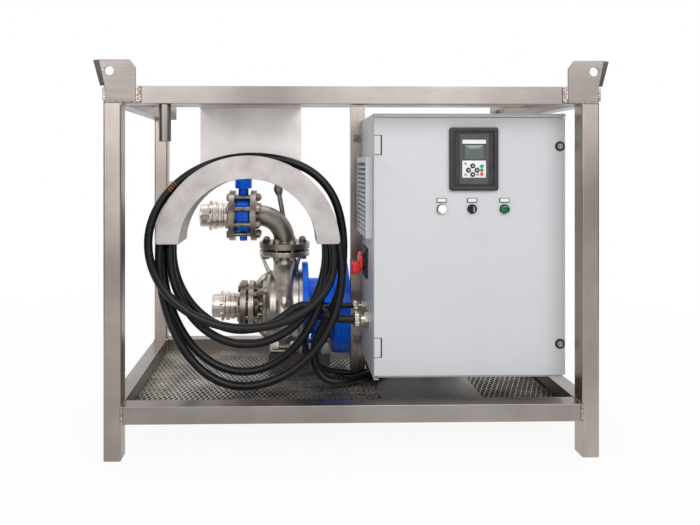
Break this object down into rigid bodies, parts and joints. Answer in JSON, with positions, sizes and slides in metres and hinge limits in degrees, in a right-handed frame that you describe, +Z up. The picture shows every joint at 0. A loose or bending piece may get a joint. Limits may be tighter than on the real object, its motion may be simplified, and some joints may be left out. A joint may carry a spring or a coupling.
{
  "type": "centrifugal pump",
  "caption": "Electric centrifugal pump with butterfly valve, quick couplings, control cabinet and hung cable coil in a square tube lifting frame.",
  "frame": {"origin": "middle of the frame's footprint at the ground", "axes": "+X to the right seen from the front, +Y to the back, +Z up"},
  "size_m": [1.47, 0.712, 1.133],
  "materials": {
    "steel_tube": "brushed",
    "floor_mesh": "rough",
    "floor_plate": "brushed",
    "saddle_sheet": "matt",
    "cabinet_paint": "textured",
    "hardware": "satin",
    "seal_rubber": "matt",
    "zinc_plate": "satin",
    "drive_plastic": "matt",
    "black_plastic": "matt",
    "keypad_plastic": "matt",
    "green_plastic": "gloss",
    "red_plastic": "gloss",
    "white_plastic": "gloss",
    "grille_plastic": "matt",
    "dark_plastic": "matt",
    "cast_stainless": "cast",
    "polished_steel": "polished",
    "blue_paint": "gloss",
    "lever_steel": "satin",
    "cable_rubber": "matt"
  },
  "bodies": {
    "unit": {"corner_posts": "steel_tube", "bottom_rails": "steel_tube", "top_rails": "steel_tube", "lifting_lugs": "steel_tube", "support_frame": "steel_tube", "floor_bearers": "steel_tube", "floor_mesh": "floor_mesh", "floor_plate": "floor_plate", "saddle_arch": "saddle_sheet", "saddle_plate": "saddle_sheet", "cabinet_body": "cabinet_paint", "door_hinges": "hardware", "wall_ears": "hardware", "cable_glands": "hardware", "flange_gaskets": "seal_rubber", "mounting_plate": "zinc_plate", "drive_unit": "drive_plastic", "filter_fan_frame": "grille_plastic", "isolator_plate": "dark_plastic", "supply_plug": "dark_plastic", "pump_casing": "cast_stainless", "casing_cover": "cast_stainless", "suction_adapter": "cast_stainless", "discharge_adapter": "cast_stainless", "discharge_elbow": "cast_stainless", "flange_bolts": "polished_steel", "lantern": "blue_paint", "motor_housing": "blue_paint", "terminal_box": "blue_paint", "valve_body": "blue_paint", "supply_coil": "cable_rubber", "supply_lead": "cable_rubber", "supply_tail": "cable_rubber", "motor_lead": "cable_rubber"},
    "door": {"cabinet_door": "cabinet_paint", "door_seal": "seal_rubber", "keypad_bezel": "black_plastic", "keypad": "keypad_plastic", "green_lamp": "green_plastic", "door_bezels": "black_plastic"},
    "push_button": {"push_button": "white_plastic"},
    "selector": {"selector_knob": "black_plastic"},
    "upper_lock": {"upper_lock": "black_plastic"},
    "lower_lock": {"lower_lock": "black_plastic"},
    "filter_fan": {"filter_fan": "dark_plastic"},
    "isolator": {"isolator_handle": "red_plastic"},
    "rotor": {"pump_shaft": "polished_steel", "impeller": "cast_stainless", "motor_fan_wheel": "dark_plastic"},
    "valve": {"valve_disc": "cast_stainless", "valve_lever": "lever_steel"},
    "suction_ring": {"suction_lock_ring": "polished_steel"},
    "discharge_ring": {"discharge_lock_ring": "polished_steel"},
    "key_up": {"key_up": "black_plastic"},
    "key_down": {"key_down": "black_plastic"},
    "key_left": {"key_left": "black_plastic"},
    "key_right": {"key_right": "black_plastic"},
    "key_start": {"key_start": "green_plastic"},
    "key_stop": {"key_stop": "red_plastic"}
  },
  "joints": [
    {"name": "door_hinge", "type": "hinge", "parent": "unit", "child": "door", "pos_m": [0.079, -0.244, 0.59], "axis": [0, 0, -1], "range_deg": [0, 110]},
    {"name": "button_press", "type": "slide", "parent": "door", "child": "push_button", "axis": [0, 1, 0], "range_m": [0, 0.004], "stiffness_N_per_m": 400, "springref_m": -0.002},
    {"name": "selector_turn", "type": "hinge", "parent": "door", "child": "selector", "pos_m": [0.369, -0.25, 0.704], "axis": [0, -1, 0], "range_deg": [-45, 45]},
    {"name": "upper_lock_turn", "type": "hinge", "parent": "door", "child": "upper_lock", "pos_m": [0.636, -0.25, 0.893], "axis": [0, -1, 0], "range_deg": [0, 90]},
    {"name": "lower_lock_turn", "type": "hinge", "parent": "door", "child": "lower_lock", "pos_m": [0.636, -0.25, 0.297], "axis": [0, -1, 0], "range_deg": [0, 90]},
    {"name": "filter_fan_spin", "type": "hinge", "parent": "unit", "child": "filter_fan", "pos_m": [0.1, -0.094, 0.737], "axis": [1, 0, 0], "continuous": true},
    {"name": "isolator_turn", "type": "hinge", "parent": "unit", "child": "isolator", "pos_m": [0.04, -0.07, 0.518], "axis": [-1, 0, 0], "range_deg": [0, 90]},
    {"name": "rotor_spin", "type": "hinge", "parent": "unit", "child": "rotor", "pos_m": [0, 0.18, 0.315], "axis": [1, 0, 0], "continuous": true},
    {"name": "valve_turn", "type": "hinge", "parent": "unit", "child": "valve", "pos_m": [-0.3495, 0.18, 0.8], "axis": [0, 0, -1], "range_deg": [0, 90]},
    {"name": "suction_ring_turn", "type": "hinge", "parent": "unit", "child": "suction_ring", "pos_m": [-0.44, 0.18, 0.315], "axis": [1, 0, 0], "range_deg": [0, 60]},
    {"name": "discharge_ring_turn", "type": "hinge", "parent": "unit", "child": "discharge_ring", "pos_m": [-0.48, 0.18, 0.649], "axis": [1, 0, 0], "range_deg": [0, 60]},
    {"name": "key_up_press", "type": "slide", "parent": "door", "child": "key_up", "axis": [0, 1, 0], "range_m": [0, 0.0008], "stiffness_N_per_m": 300, "springref_m": -0.001},
    {"name": "key_down_press", "type": "slide", "parent": "door", "child": "key_down", "axis": [0, 1, 0], "range_m": [0, 0.0008], "stiffness_N_per_m": 300, "springref_m": -0.001},
    {"name": "key_left_press", "type": "slide", "parent": "door", "child": "key_left", "axis": [0, 1, 0], "range_m": [0, 0.0008], "stiffness_N_per_m": 300, "springref_m": -0.001},
    {"name": "key_right_press", "type": "slide", "parent": "door", "child": "key_right", "axis": [0, 1, 0], "range_m": [0, 0.0008], "stiffness_N_per_m": 300, "springref_m": -0.001},
    {"name": "key_start_press", "type": "slide", "parent": "door", "child": "key_start", "axis": [0, 1, 0], "range_m": [0, 0.0008], "stiffness_N_per_m": 300, "springref_m": -0.001},
    {"name": "key_stop_press", "type": "slide", "parent": "door", "child": "key_stop", "axis": [0, 1, 0], "range_m": [0, 0.0008], "stiffness_N_per_m": 300, "springref_m": -0.001}
  ]
}
